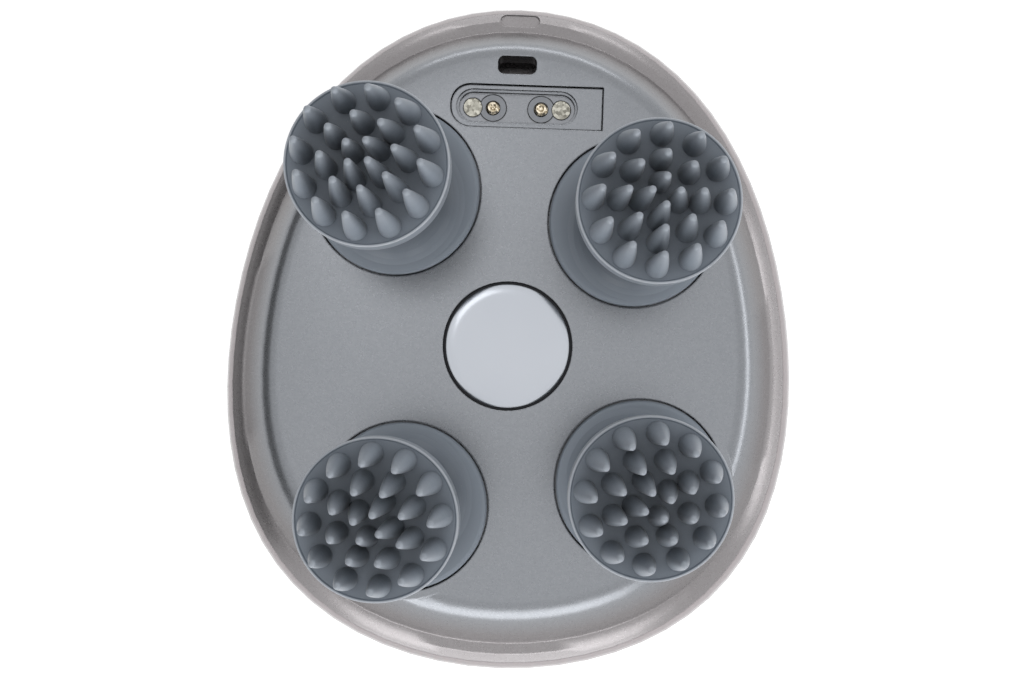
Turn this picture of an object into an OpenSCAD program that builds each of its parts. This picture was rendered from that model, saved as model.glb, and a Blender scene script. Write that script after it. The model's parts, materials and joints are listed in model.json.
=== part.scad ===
// Palm-held electric scalp massager with four kneading heads.
// It lies on its domed palm shell: the heads point up (+Z), the charging end
// points to +Y, and the origin is the centre of the resting plane.
// Gears, shafts and heads all turn about axes parallel to Z.

/* [Body] */
// Overall length of the body, charging end to wide end
body_l = 110; // [104:1:132]
// Overall width of the body
body_w = 94; // [90:1:114]
// Height of the widest section above the resting plane
girth_z = 26; // [25:0.5:28]
// Height of the flat face that carries the heads
face_z = 40.2; // [39.8:0.1:44]
// Wall thickness of both housing shells
wall = 2; // [1.6:0.1:2.4]
// Distance from the widest section in to the flat face, at the sides
face_inset = 12; // [11:0.5:13]
// Narrowing of the egg outline towards the charging end
egg_taper = 0.055; // [0.03:0.005:0.07]
// Fullness of the egg outline's shoulders
egg_full = 0.031; // [0.01:0.001:0.04]

/* [Massage heads] */
// Radius of each head's turning base
base_r = 12.8; // [12:0.1:13.2]
// Radius of each head's disc
disc_r = 10.6; // [9.5:0.1:11.5]
// Height of the disc's rim above the face
disc_h = 23.3; // [19:0.1:28]
// Radius of the neck under the disc
neck_r = 6.4; // [6:0.1:7.5]
// Offset of the disc's centre from the turning axis
eccentric = 1.5; // [0.5:0.1:1.8]
// Length of each massage node above the disc
node_l = 8; // [6:0.1:9.6]
// Inward lean of the massage nodes, in degrees
node_lean = 6; // [0:0.5:7]

/* [Gear train] */
// Module of the head gears, the sun gear and the idlers
head_module = 0.8; // [0.72:0.01:0.82]
// Module of the motor's reduction pair
motor_module = 0.5; // [0.45:0.01:0.55]
// Thickness of each gear level
gear_w = 3; // [2.4:0.1:3.1]
// Distance from the sun gear to the charging-end head that an idler drives
idler_head_front = 26.9; // [26:0.1:29]
// Distance from the sun gear to the wide-end head that an idler drives
idler_head_rear = 29.2; // [27:0.1:30]
// Radius of the steel head shafts
shaft_r = 2; // [1.6:0.1:2.2]

/* [Power button] */
// Radius of the power button
button_r = 10.2; // [9:0.1:10.6]
// Travel of the power button
button_travel = 0.4; // [0.2:0.05:0.5]

/* [Charging socket] */
// Distance between the two charging contacts
contact_gap = 7.4; // [6.8:0.1:8]
// Distance between the two magnets
magnet_gap = 13.6; // [13:0.1:14.4]
// Distance of the socket from the centre of the body
socket_y = 35; // [34:0.5:36]

/* [Fits] */
// Radial clearance of shafts and journals that turn
run_gap = 0.05; // [0.03:0.01:0.08]
// Gap around each turning head base
base_gap = 0.25; // [0.2:0.05:0.5]
// Gap around parts that drop into a recess
seat_gap = 0.12; // [0.05:0.01:0.2]

/* [Hidden] */
$fn = 64;

// ---- outline and heights of the body ----
egg_n = 72;
half_w = body_w / 2;
half_l = body_l / 2;
dome_power = 2.3;
flat_z = 0.8;
part_z = girth_z + 4.6;
part_gap = 0.4;
rim_inset = 2;
rim_w = 1.25;
gasket_inset = rim_inset + 0.55;
skirt_inset = 2.2;
face_inset_end = face_inset + 1.5;
face_shift = 1;
ridge_inset = 4.7;
ridge_inset_end = 6;
ridge_z = part_z + 2.5;
edge_r = 4;
slope_angle = 52;
tongue_gap = 0.15;
tongue_w = 1.2;
tongue_h = 1.8;

// ---- general allowances ----
// How far a cut runs past the face it opens, and how far a boss runs into the wall that carries it.
over = 1;
join = 0.4;

// ---- face housing ----
plate_z = face_z - wall;
pocket_depth = 1.8;
pocket_z = face_z - pocket_depth;
pocket_floor = 1.8;
pocket_under = pocket_z - pocket_floor;
collar_w = 1.2;
boss_under = pocket_under - 1.4;
boss_wall = 1.2;
seat_wall = 1.4;

// ---- gear train, from the face down ----
level_gap = 0.4;
hub_gap = 0.2;
level2_z = boss_under - level_gap - gear_w;
level1_z = level2_z - level_gap - gear_w;
tray_w = 2;
tray_gap = 0.8;
tray_top = level1_z - tray_gap;
tray_z = tray_top - tray_w;
wheel_w = 1.8;
wheel_gap = 0.6;
wheel_z = tray_z - wheel_gap - wheel_w;
pressure_angle = 25;
addendum = 0.9;
dedendum = 1.15;
backlash = 0.06;
sun_teeth = 45;
head_teeth = 28;
idler_teeth = 14;
pinion_teeth = 12;
wheel_teeth = 50;
motor_teeth = 10;
sun_at = [0, -1.6];
sun_phase = 0;
sun_post_r = 3;
idler_pin_r = 1.5;
compound_pin_r = 1;
// Skin that is left over a pin's blind hole in the face plate.
pin_skin = 0.6;
pin_top = plate_z - pin_skin;
sun_hub_r = sun_post_r + 2;
sun_washer = 0.4;
post_floor = 0.6;
sun_web_r = 7;
sun_hole_r = 3;
wheel_hub_r = 3;

function mesh_distance(m, a, b) = m * (a + b) / 2;
function polar(at, r, angle) = at + r * [cos(angle), sin(angle)];
direct_r = mesh_distance(head_module, sun_teeth, head_teeth);
idler_r = mesh_distance(head_module, sun_teeth, idler_teeth);
link_r = mesh_distance(head_module, idler_teeth, head_teeth);

// Angles of the heads around the sun gear.
angle_front_left = 127.7;
angle_front_right = 46.5;
angle_rear_left = 238.9;
angle_rear_right = 315.7;
function idler_swing(d) = acos((d * d + idler_r * idler_r - link_r * link_r) / (2 * d * idler_r));
angle_idler_front = angle_front_right - idler_swing(idler_head_front);
angle_idler_rear = angle_rear_left - idler_swing(idler_head_rear);
at_front_left = polar(sun_at, direct_r, angle_front_left);
at_rear_right = polar(sun_at, direct_r, angle_rear_right);
at_front_right = polar(sun_at, idler_head_front, angle_front_right);
at_rear_left = polar(sun_at, idler_head_rear, angle_rear_left);
at_idler_front = polar(sun_at, idler_r, angle_idler_front);
at_idler_rear = polar(sun_at, idler_r, angle_idler_rear);
HEAD_PLACES = [at_front_left, at_front_right, at_rear_left, at_rear_right];
IDLER_PLACES = [at_idler_front, at_idler_rear];
compound_at = polar(sun_at, mesh_distance(head_module, sun_teeth, pinion_teeth), 270);
motor_at = polar(compound_at, mesh_distance(motor_module, wheel_teeth, motor_teeth), 90);

// A gear's phase is the angle of one tooth's centre. The second gear of a pair,
// seen from the first in the direction `angle`, has a gap where the first has a tooth.
function mesh_phase(angle, phase, teeth_a, teeth_b) =
    angle + 180 - (phase - angle) * teeth_a / teeth_b - 180 / teeth_b;
function bearing(a, b) = atan2(b[1] - a[1], b[0] - a[0]);
phase_idler_front = mesh_phase(angle_idler_front, sun_phase, sun_teeth, idler_teeth);
phase_idler_rear = mesh_phase(angle_idler_rear, sun_phase, sun_teeth, idler_teeth);
phase_front_left = mesh_phase(angle_front_left, sun_phase, sun_teeth, head_teeth);
phase_rear_right = mesh_phase(angle_rear_right, sun_phase, sun_teeth, head_teeth);
phase_front_right = mesh_phase(bearing(at_idler_front, at_front_right),
    phase_idler_front, idler_teeth, head_teeth);
phase_rear_left = mesh_phase(bearing(at_idler_rear, at_rear_left),
    phase_idler_rear, idler_teeth, head_teeth);
phase_pinion = mesh_phase(270, sun_phase, sun_teeth, pinion_teeth);
phase_wheel = 0;
phase_motor = mesh_phase(90, phase_wheel, wheel_teeth, motor_teeth);

// ---- tray posts, clear of every gear ----
post_r = 2.6;
screw_r = 1;
screw_fine_r = 0.8;
screw_head_r = 1.9;
screw_fine_head_r = 1.6;
screw_head_h = 1.4;
screw_fine_head_h = 1.2;
screw_grip = 5;
drive_l = 2;
drive_w = 0.4;
drive_depth = 0.7;
TRAY_POSTS = [[-33, 3], [34, 2], [0, 27.2], [0, -39.8]];
tray_inset = 9.5;
tray_inset_end = 11.5;

// ---- head pieces ----
bush_r = 3.4;
bush_flange_r = 4.4;
bush_flange_w = 0.6;
seal_r = 4.4;
seal_w = 1.2;
head_z = pocket_z + base_gap;
skirt_w = 1.6;
core_base_r = base_r - skirt_w;
core_base_h = 1;
core_stem_r = 5;
rim_z = face_z + disc_h;
core_disc_r = disc_r - 3.2;
core_disc_h = 1.2;
core_disc_z = rim_z - 3.4;
shaft_top = face_z + 10;
base_proud = 0.4;
neck_foot_r = base_r - eccentric - 0.5;
neck_foot_h = 8;
under_z = rim_z - 2.8;
under_low = rim_z - 7;
under_edge = 0.3;
lip_w = 0.3;
lip_h = 0.16;
dish_depth = 1;
dish_r = disc_r - lip_w - lip_h;
// Angle of the offset from the row of nodes, the same on all four heads.
offset_turn = -57;
// Rings of nodes on a disc: [number, share of the disc's radius, radius of a node's foot].
NODE_RINGS = [[12, 0.805, 1.55], [8, 0.5, 1.45], [4, 0.236, 1.4]];
node_tip_r = 0.5;
node_sink = 0.2;
node_root = 0.8;
turn_front_left = 52 - 90 + offset_turn;
turn_front_right = 90 - 90 + offset_turn;
turn_rear_left = 65.5 + 90 + offset_turn;
turn_rear_right = 26 + 180 + offset_turn;

// ---- label, socket and strap eyelet ----
label_r = 9.65;
label_recess = 0.7;
label_w = 0.5;
label_z = face_z - label_recess;
centre_boss_r = 5;
socket_x = 0.15;
socket_low = -10.05;
socket_high = 13.05;
socket_w = 6.4;
socket_h = 3.4;
socket_sink = 0.3;
socket_corner = 3;
well_l = 18.5;
well_w = 5.2;
well_depth = 1.3;
well_step = 0.35;
well_step_depth = 0.75;
// Clearance around the magnets, insulators and contacts in their seats.
inset_gap = 0.1;
magnet_r = 1.4;
magnet_h = 1.7;
insulator_r = 2;
pin_r = 1.05;
pin_shank_r = 0.6;
pin_proud = 0.5;
socket_wall = 1.4;
contact_reach = 1.5;
contact_low = face_z - socket_h - socket_wall - contact_reach;
contact_top = face_z - well_depth + pin_proud;
contact_edge = 0.3;
contact_seat = 0.8;
contact_dimple_r = 0.5;
contact_dimple = 0.25;
seat_z = face_z - well_depth - magnet_h;
CONTACT_PLACES = [for (side = [-1, 1]) [socket_x + side * contact_gap / 2, socket_y]];
MAGNET_PLACES = [for (side = [-1, 1]) [socket_x + side * magnet_gap / 2, socket_y]];
eyelet_w = 5.9;
eyelet_h = 2.8;
eyelet_y = half_l - face_inset_end + face_shift - 1.2;
eyelet_r = 1;
eyelet_depth = 5.4;
eyelet_box_l = 12;
eyelet_box_z = ridge_z - 2.7;
tunnel_h = 2.4;
tunnel_roof = 0.8;
rim_slot_l = 6.3;
rim_slot_w = 2.3;
rim_slot_y = half_l - rim_inset - 0.7 - rim_slot_w / 2;
rim_slot_z = part_z + part_gap + 0.4;

// ---- motor, battery and electronics ----
motor_r = 12.2;
motor_h = 12.3;
motor_boss_r = 3;
motor_boss_h = 0.5;
motor_top = wheel_z - 0.3 - motor_boss_h;
motor_z = motor_top - motor_h;
can_edge = 0.8;
end_cap_h = 2.2;
end_cap_r = motor_r - 0.6;
end_cap_floor = 0.8;
motor_shaft_r = 1;
pinion_proud = 0.15;
clamp_w = 2;
clamp_h = 2.4;
clamp_z = motor_z + 6;
clamp_reach = motor_r + clamp_w + 3;
CLAMP_PLACES = [for (side = [-1, 1]) [motor_at[0] + side * clamp_reach, motor_at[1]]];
battery_l = 40;
battery_w = 30;
battery_h = 8;
pouch_edge = 1.5;
cradle_w = 1.2;
cradle_gap = 0.4;
cradle_grip = 3;
cradle_post_r = 2;
CRADLE_POSTS = [for (x = [-12, 12], y = [-11, 11]) [x, y]];
battery_y = motor_at[1] + motor_r + clamp_w + battery_w / 2 + cradle_w + 0.9;
cradle_top = tray_z - 4;
pad_h = 0.8;
battery_z = cradle_top - cradle_w - pad_h - battery_h;
board_l = 44;
board_w = 38;
board_h = 1.2;
board_top = motor_z - 1.1;
board_z = board_top - board_h;
BOARD_POSTS = [[-18.5, -15.5], [18.5, -15.5], [-18.5, 15.5], [18.5, 15.5]];
board_post_r = 2.3;
port_size = 4.4;
port_h = 2.2;
port_depth = 1.6;
wire_r = 0.6;
wire_step = 1.5;
lead_gap = 0.02;
lead_hole = [1, socket_y + 2];
lead_hole_l = 16;
lead_hole_w = 6;
board_grip = 2;

// ---- power button ----
bezel_r = 13.5;
bezel_wall = 0.8;
bezel_edge = 0.4;
button_gap = 0.1;
button_sink = 0.5;
button_flange = 0.6;
button_overlap = 0.5;
button_dish = 0.7;
button_stem_r = 2.4;
bezel_in = flat_z + wall + 0.4;
button_back = bezel_in + run_gap;
switch_w = 6.2;
switch_h = 2.6;
switch_z = board_z - switch_h;
plunger_r = 1.75;
plunger_out = 0.7;
plunger_in = 1.2;

// ======== outlines and lofts ========

function mix(a, b, f) = a + (b - a) * f;
function egg_x(t) = sin(t) - egg_taper * sin(2 * t) + egg_full * sin(3 * t);
egg_peak = max([for (t = [60:130]) egg_x(t)]);

// Egg outline with half-width hw and half-length hl, centred on y = yc.
function egg(hw, hl, yc = 0) = [
    for (i = [0:egg_n - 1]) let (t = 360 * i / egg_n)
        [-hw * egg_x(t) / egg_peak, yc + hl * cos(t)]
];

// Closed skin through rings [half-width, half-length, centre y, z]. The rings run
// along the outside first, and `down` says that the outside starts at the top.
module loft(rings, down) {
    points = [for (r = rings) each [for (p = egg(r[0], r[1], r[2])) [p[0], p[1], r[3]]]];
    last = (len(rings) - 1) * egg_n;
    first_cap = [for (i = [0:egg_n - 1]) i];
    last_cap = [for (i = [egg_n - 1:-1:0]) last + i];
    sides = [
        for (j = [0:len(rings) - 2], i = [0:egg_n - 1])
            let (a = j * egg_n + i, b = j * egg_n + (i + 1) % egg_n, c = b + egg_n, d = a + egg_n)
                each [[a, c, b], [a, d, c]]
    ];
    faces = concat([first_cap], [last_cap], sides);
    polyhedron(points, down ? [for (f = faces) [for (k = [len(f) - 1:-1:0]) f[k]]] : faces);
}

// Ring at inset d from the widest outline.
function inset_ring(d, z) = [half_w - d, half_l - d, 0, z];

// ---- face housing rings ----
face_hw = half_w - face_inset;
face_hl = half_l - face_inset_end;
ridge_hw = half_w - ridge_inset;
ridge_hl = half_l - ridge_inset_end;
slope_run = ridge_hw - face_hw;
// Ring on the slope between the flat face (f = 0) and the ridge (f = 1).
function slope_ring(f, z, d = 0) = [
    mix(face_hw, ridge_hw, f) - d, mix(face_hl, ridge_hl, f) - d, mix(face_shift, 0, f), z
];
function edge_ring(a) = slope_ring(edge_r * sin(a) / slope_run, face_z - edge_r * (1 - cos(a)));

FACE_OUTER = concat(
    [for (a = [0:slope_angle / 4:slope_angle]) edge_ring(a)],
    [
        slope_ring(1, ridge_z),
        inset_ring(ridge_inset - 0.6, ridge_z - 0.35),
        inset_ring(skirt_inset + 0.8, part_z + part_gap + 0.95),
        inset_ring(skirt_inset + 0.15, part_z + part_gap + 0.5),
        inset_ring(skirt_inset, part_z + part_gap)
    ]
);
tongue_inset = rim_inset + rim_w + tongue_gap;
FACE_INNER = [
    inset_ring(tongue_inset, part_z + part_gap),
    inset_ring(tongue_inset, part_z - tongue_h),
    inset_ring(tongue_inset + tongue_w, part_z - tongue_h),
    inset_ring(tongue_inset + tongue_w, part_z + part_gap),
    slope_ring(1, ridge_z - 0.55 * wall, wall),
    slope_ring(0.52, plate_z - 1, wall),
    slope_ring(0.2, plate_z, wall)
];

// ---- palm shell rings ----
function dome_ring(z, d, base) =
    let (s = pow(1 - pow((girth_z - z) / (girth_z - base), dome_power), 1 / dome_power))
        [(half_w - d) * s, (half_l - d) * s, 0, z];
dome_steps = 9;
function dome_height(i, low) = low + (girth_z - low) * pow(i / dome_steps, 1.8);
SHELL_OUTER = concat(
    [for (i = [0:dome_steps]) dome_ring(dome_height(i, flat_z), 0, 0)],
    [inset_ring(0.45, mix(girth_z, part_z, 0.5)), inset_ring(1.25, mix(girth_z, part_z, 0.85)),
        inset_ring(rim_inset, part_z)]
);
SHELL_INNER = concat(
    [inset_ring(rim_inset + rim_w, part_z), inset_ring(rim_inset + rim_w, part_z - tongue_h - 0.2),
        inset_ring(wall + 0.5, part_z - tongue_h - 1.2)],
    [for (i = [dome_steps:-1:0]) dome_ring(dome_height(i, flat_z + wall), wall, wall)]
);

// ======== gears ========

function involute(a) = tan(a) * 180 / PI - a;
// Half the angle that a tooth fills at radius r.
function tooth_half(m, teeth, r) =
    let (base = m * teeth / 2 * cos(pressure_angle))
        90 / teeth - backlash / (m * teeth) * 180 / PI + involute(pressure_angle)
        - involute(acos(min(1, base / max(r, base))));

// Outline of a spur gear whose first tooth is centred on the angle `phase`.
function gear_outline(m, teeth, phase) =
    let (
        root = m * (teeth / 2 - dedendum),
        tip = m * (teeth / 2 + addendum),
        low = max(root + 0.02, m * teeth / 2 * cos(pressure_angle)),
        radii = [root, low, mix(low, tip, 0.3), mix(low, tip, 0.65), tip]
    ) [
        for (i = [0:teeth - 1]) let (mid = phase + 360 * i / teeth)
            each concat(
                [for (r = radii) polar([0, 0], r, mid - tooth_half(m, teeth, r))],
                [for (k = [4:-1:0]) polar([0, 0], radii[k], mid + tooth_half(m, teeth, radii[k]))]
            )
    ];

module spur(m, teeth, phase, h) {
    linear_extrude(h) polygon(gear_outline(m, teeth, phase));
}

module place(at, z = 0) {
    translate([at[0], at[1], z]) children();
}

// Upright cylinder from height `low` to `high`; bosses run up into the face plate.
module rod(at, low, r, high = plate_z + join) {
    place(at, low) cylinder(r = r, h = high - low);
}

module ring(outer, inner, h) {
    difference() {
        cylinder(r = outer, h = h);
        translate([0, 0, -over]) cylinder(r = inner, h = h + 2 * over);
    }
}

// ======== housing ========

// Outline of the charging socket: round towards -X and square towards +X.
module socket_outline(gap) {
    corner = socket_corner + gap;
    low = socket_low - gap;
    high = socket_high + gap;
    w = socket_w + 2 * gap;
    for (side = [-1, 1]) translate([low + corner, side * (w / 2 - corner)]) circle(corner);
    translate([low, corner - w / 2]) square([corner, w - 2 * corner]);
    translate([low + corner, -w / 2]) square([high - low - corner, w]);
}

module stadium(l, w) {
    for (side = [-1, 1]) translate([side * (l - w) / 2, 0]) circle(w / 2);
    square([l - w, w], center = true);
}

module slot_outline(l, w, r) {
    for (x = [-1, 1], y = [-1, 1]) translate([x * (l / 2 - r), y * (w / 2 - r)]) circle(r);
    square([l, w - 2 * r], center = true);
    square([l - 2 * r, w], center = true);
}

// Strap tunnel: down through the face, out under the slope and up again through the rim.
module eyelet_tunnel() {
    low = face_z - eyelet_depth;
    mouth_y = rim_slot_y - rim_slot_w / 2 + join;
    translate([0, eyelet_y, low]) linear_extrude(eyelet_depth + over)
        slot_outline(eyelet_w, eyelet_h, eyelet_r);
    rotate([90, 0, 90]) linear_extrude(eyelet_w, center = true) polygon([
        [eyelet_y, low], [eyelet_y + eyelet_h / 2, low], [ridge_hl - wall, rim_slot_z], [mouth_y, rim_slot_z],
        [mouth_y, ridge_z - tunnel_roof], [ridge_hl, ridge_z - tunnel_roof],
        [eyelet_y + eyelet_h / 2, low + tunnel_h], [eyelet_y, low + tunnel_h]
    ]);
    translate([0, rim_slot_y, rim_slot_z]) linear_extrude(face_z - rim_slot_z)
        slot_outline(rim_slot_l, rim_slot_w, eyelet_r);
}

module face_solid() {
    loft(concat(FACE_OUTER, [slope_ring(1, part_z + part_gap, wall)]), true);
}

module face_bosses() {
    for (at = HEAD_PLACES) {
        rod(at, boss_under, bush_flange_r + boss_wall + join, pocket_z);
        rod(at, pocket_under, base_r + base_gap + collar_w, pocket_z + join);
    }
    for (at = TRAY_POSTS) rod(at, tray_top, post_r);
    for (at = IDLER_PLACES) rod(at, level2_z + gear_w + hub_gap, idler_pin_r + boss_wall);
    rod(sun_at, boss_under, centre_boss_r);
    rod(compound_at, level1_z + gear_w + hub_gap, compound_pin_r + seat_wall);
    translate([socket_x, socket_y, face_z - socket_h - socket_wall])
        linear_extrude(socket_h + socket_wall - join) socket_outline(socket_wall);
    translate([-eyelet_w / 2 - seat_wall, eyelet_y - eyelet_h / 2 - seat_wall, eyelet_box_z])
        cube([eyelet_w + 2 * seat_wall, eyelet_box_l, plate_z + join - eyelet_box_z]);
}

module face_housing() {
    color([0.60, 0.61, 0.63]) difference() {
        union() {
            loft(concat(FACE_OUTER, FACE_INNER), true);
            intersection() {
                face_bosses();
                union() {
                    face_solid();
                    translate([0, 0, tray_top - over])
                        linear_extrude(part_z + part_gap + join + over - tray_top)
                            polygon(egg(half_w - tray_inset + over, half_l - tray_inset_end + over));
                }
            }
            for (at = HEAD_PLACES) place(at, pocket_under)
                cylinder(r = base_r + base_gap + collar_w, h = face_z - pocket_under);
        }
        for (at = HEAD_PLACES) {
            rod(at, pocket_z, base_r + base_gap, face_z + over);
            rod(at, pocket_z - seal_w, seal_r, face_z);
            rod(at, boss_under - over, bush_r, pocket_z);
        }
        for (at = TRAY_POSTS) rod(at, tray_top - over, screw_r, tray_top + screw_grip + over);
        for (at = IDLER_PLACES) rod(at, level2_z, idler_pin_r, pin_top);
        rod(compound_at, level1_z, compound_pin_r, pin_top);
        rod(sun_at, label_z, label_r + 2 * seat_gap, face_z + over);
        rod(sun_at, label_z - screw_head_h, screw_head_r + 2 * seat_gap, face_z);
        rod(sun_at, boss_under - over, screw_r, label_z);
        translate([socket_x, socket_y, face_z - socket_h]) linear_extrude(socket_h + over)
            socket_outline(seat_gap);
        for (at = CONTACT_PLACES) rod(at, contact_low - over, pin_shank_r, face_z - over);
        eyelet_tunnel();
    }
}

module palm_shell() {
    color([0.80, 0.77, 0.77]) difference() {
        union() {
            loft(concat(SHELL_OUTER, SHELL_INNER), false);
            intersection() {
                for (at = BOARD_POSTS) rod(at, flat_z, board_post_r, board_z);
                loft(SHELL_OUTER, false);
            }
        }
        for (at = BOARD_POSTS) rod(at, board_z - board_grip - join, screw_fine_r, board_z + over);
        rod([0, 0], -over, button_r + button_gap + bezel_wall + seat_gap, girth_z / 2);
    }
}

module rim_gasket() {
    color([0.16, 0.16, 0.17]) translate([0, 0, part_z]) linear_extrude(part_gap) difference() {
        polygon(egg(half_w - gasket_inset, half_l - gasket_inset));
        polygon(egg(half_w - rim_inset - rim_w, half_l - rim_inset - rim_w));
    }
}

module label_disc() {
    color([0.78, 0.79, 0.80]) rod(sun_at, label_z, label_r, label_z + label_w);
}

module centre_screw() {
    top = label_z - seat_gap;
    color([0.66, 0.66, 0.68]) place(sun_at) difference() {
        union() {
            rod([0, 0], label_z - screw_head_h, screw_head_r, top);
            rod([0, 0], tray_z + over, screw_r, label_z - screw_head_h);
        }
        translate([0, 0, top]) cross_drive();
    }
}

// Cross recess in a screw head whose top is at height 0.
module cross_drive() {
    for (turn = [0, 90]) rotate(turn)
        translate([-drive_l / 2, -drive_w / 2, -drive_depth]) cube([drive_l, drive_w, drive_depth + over]);
}

// ======== charging socket ========

module charge_socket() {
    color([0.55, 0.56, 0.58]) difference() {
        translate([socket_x, socket_y, face_z - socket_h]) difference() {
            linear_extrude(socket_h - socket_sink) socket_outline(0);
            translate([0, 0, socket_h - well_step_depth]) linear_extrude(well_step_depth + over)
                stadium(well_l, well_w);
            translate([0, 0, socket_h - well_depth]) linear_extrude(well_depth + over)
                stadium(well_l - 2 * well_step, well_w - 2 * well_step);
        }
        for (at = MAGNET_PLACES) rod(at, seat_z, magnet_r + inset_gap, face_z);
        for (at = CONTACT_PLACES) {
            rod(at, seat_z, insulator_r + inset_gap, face_z);
            rod(at, contact_low, pin_shank_r, face_z);
        }
    }
}

module charge_contacts() {
    color([0.86, 0.70, 0.40]) for (at = CONTACT_PLACES) place(at) rotate_extrude() polygon([
        [0, contact_low], [pin_shank_r, contact_low], [pin_shank_r, contact_top - pin_proud - contact_seat],
        [pin_r, contact_top - pin_proud - contact_seat], [pin_r, contact_top - contact_edge],
        [pin_r - contact_edge, contact_top], [contact_dimple_r, contact_top],
        [contact_dimple_r / 2, contact_top - contact_dimple], [0, contact_top - contact_dimple]
    ]);
}

module contact_insulators() {
    color([0.50, 0.51, 0.53]) difference() {
        for (at = CONTACT_PLACES) rod(at, seat_z, insulator_r, seat_z + magnet_h);
        for (at = CONTACT_PLACES) {
            rod(at, contact_top - pin_proud - contact_seat, pin_r + inset_gap, face_z);
            rod(at, contact_low, pin_shank_r, face_z);
        }
        for (at = MAGNET_PLACES) rod(at, contact_low, magnet_r + inset_gap, face_z);
    }
}

module charge_magnets() {
    color([0.74, 0.73, 0.70]) for (at = MAGNET_PLACES) rod(at, seat_z, magnet_r, seat_z + magnet_h);
}

// ======== gear tray and what it carries ========

module tray_hole(at, r) {
    rod(at, tray_z - over, r, tray_top + over);
}

module gear_tray() {
    color([0.82, 0.83, 0.80]) difference() {
        union() {
            translate([0, 0, tray_z]) linear_extrude(tray_w)
                polygon(egg(half_w - tray_inset, half_l - tray_inset_end));
            rod(sun_at, tray_z, sun_post_r, boss_under);
            rod(sun_at, tray_z, sun_hub_r, tray_top + sun_washer);
            for (at = CLAMP_PLACES) rod(at, clamp_z + clamp_h, post_r, tray_z + join);
        }
        for (at = HEAD_PLACES) tray_hole(at, bush_r);
        for (at = TRAY_POSTS) tray_hole(at, screw_r);
        for (at = IDLER_PLACES) tray_hole(at, idler_pin_r);
        tray_hole(compound_at, wheel_hub_r + tray_gap);
        tray_hole(motor_at, motor_shaft_r + boss_wall);
        rod(sun_at, tray_z + post_floor, screw_r, face_z);
        for (at = CLAMP_PLACES) rod(at, clamp_z, screw_fine_r, clamp_z + clamp_h + screw_grip);
        translate([lead_hole[0], lead_hole[1], tray_z - over]) linear_extrude(tray_w + 2 * over)
            slot_outline(lead_hole_l, lead_hole_w, lead_hole_w / 3);
    }
}

module cap_screw(length) {
    difference() {
        union() {
            translate([0, 0, -screw_head_h])
                cylinder(r1 = screw_fine_head_r, r2 = screw_head_r, h = screw_head_h);
            cylinder(r = screw_r, h = length);
        }
        translate([0, 0, -screw_head_h]) mirror([0, 0, 1]) cross_drive();
    }
}

module tray_screws() {
    color([0.66, 0.66, 0.68]) for (at = TRAY_POSTS) place(at, tray_z) cap_screw(tray_w + screw_grip);
}

module lower_bushings() {
    color([0.72, 0.55, 0.30]) for (at = HEAD_PLACES) difference() {
        union() {
            rod(at, tray_z, bush_r, tray_top);
            rod(at, tray_top, bush_flange_r, tray_top + bush_flange_w);
        }
        tray_hole(at, shaft_r + run_gap);
    }
}

module upper_bushings() {
    color([0.72, 0.55, 0.30]) for (at = HEAD_PLACES) place(at, boss_under)
        ring(bush_r, shaft_r + run_gap, pocket_z - seal_w - boss_under);
}

module shaft_seals() {
    color([0.12, 0.12, 0.13]) for (at = HEAD_PLACES) place(at, pocket_z - seal_w)
        ring(seal_r, shaft_r + run_gap, seal_w);
}

module idler_pins() {
    color([0.70, 0.70, 0.72]) for (at = IDLER_PLACES) rod(at, tray_z, idler_pin_r, pin_top);
}

module compound_pin() {
    color([0.70, 0.70, 0.72]) rod(compound_at, wheel_z - hub_gap, compound_pin_r, pin_top);
}

// ======== gears that turn ========

module sun_gear() {
    color([0.90, 0.89, 0.84]) place(sun_at) difference() {
        union() {
            translate([0, 0, level1_z]) spur(head_module, sun_teeth, sun_phase, gear_w);
            rod([0, 0], tray_top + sun_washer + hub_gap, sun_hub_r, boss_under - hub_gap);
        }
        rod([0, 0], tray_z, sun_post_r + run_gap, face_z);
        for (turn = [0:60:300]) rotate(turn)
            rod([head_module * sun_teeth / 2 - sun_web_r, 0], tray_top, sun_hole_r, level2_z);
    }
}

module compound_gear() {
    color([0.90, 0.89, 0.84]) place(compound_at) difference() {
        union() {
            translate([0, 0, wheel_z]) spur(motor_module, wheel_teeth, phase_wheel, wheel_w);
            rod([0, 0], wheel_z, wheel_hub_r, level1_z);
            translate([0, 0, level1_z]) spur(head_module, pinion_teeth, phase_pinion, gear_w);
        }
        rod([0, 0], wheel_z - over, compound_pin_r + run_gap, face_z);
    }
}

module idler(at, phase) {
    color([0.86, 0.86, 0.82]) place(at) difference() {
        translate([0, 0, level1_z]) spur(head_module, idler_teeth, phase, level2_z + gear_w - level1_z);
        rod([0, 0], level1_z - over, idler_pin_r + run_gap, face_z);
    }
}

module idler_front() {
    idler(at_idler_front, phase_idler_front);
}

module idler_rear() {
    idler(at_idler_rear, phase_idler_rear);
}

// Head gear with its teeth on one of the two levels and a hub that fills both.
module head_gear(at, phase, z) {
    low = tray_top + bush_flange_w + run_gap;
    color([0.88, 0.87, 0.82]) difference() {
        union() {
            place(at, z) spur(head_module, head_teeth, phase, gear_w);
            rod(at, low, bush_flange_r, boss_under - hub_gap);
        }
        rod(at, tray_top, shaft_r, face_z);
    }
}

module gear_front_left() {
    head_gear(at_front_left, phase_front_left, level1_z);
}

module gear_front_right() {
    head_gear(at_front_right, phase_front_right, level2_z);
}

module gear_rear_left() {
    head_gear(at_rear_left, phase_rear_left, level2_z);
}

module gear_rear_right() {
    head_gear(at_rear_right, phase_rear_right, level1_z);
}

module head_shaft(at) {
    color([0.72, 0.72, 0.74]) rod(at, tray_z, shaft_r, shaft_top);
}

module shaft_front_left() {
    head_shaft(at_front_left);
}

module shaft_front_right() {
    head_shaft(at_front_right);
}

module shaft_rear_left() {
    head_shaft(at_rear_left);
}

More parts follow.
